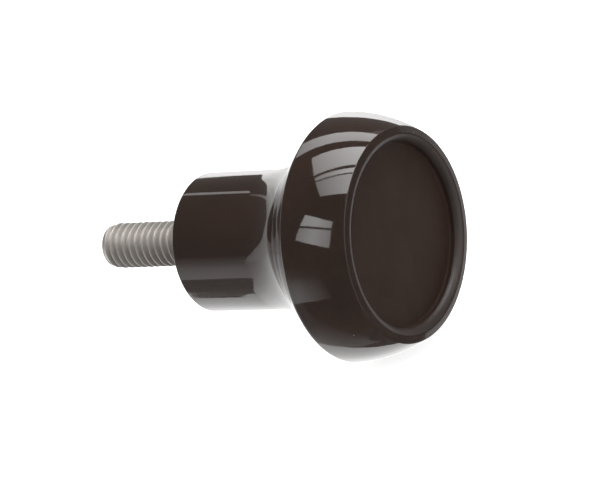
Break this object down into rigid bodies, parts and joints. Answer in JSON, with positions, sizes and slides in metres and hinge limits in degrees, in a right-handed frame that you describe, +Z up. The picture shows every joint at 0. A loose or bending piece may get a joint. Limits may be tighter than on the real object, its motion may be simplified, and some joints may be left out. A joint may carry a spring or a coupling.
{
  "type": "stud knob",
  "caption": "Round black moulded knob with a barrel-shaped head, shallow face recess, flared neck and hub, and a steel threaded stud to screw it on.",
  "frame": {"origin": "on the knob's axis, in the plane of the hub's seat, where the stud leaves the hub", "axes": "+Y along the axis towards the stud's tip, the face looks to -Y, +Z up, +X to the right"},
  "size_m": [0.0422, 0.0622, 0.0422],
  "materials": {
    "moulding": "polished black thermoset moulding, matte in the face recess",
    "steel": "dull zinc-coated steel, rolled thread"
  },
  "bodies": {
    "root": {"knob_body": "moulding", "threaded_stud": "steel"}
  },
  "joints": []
}
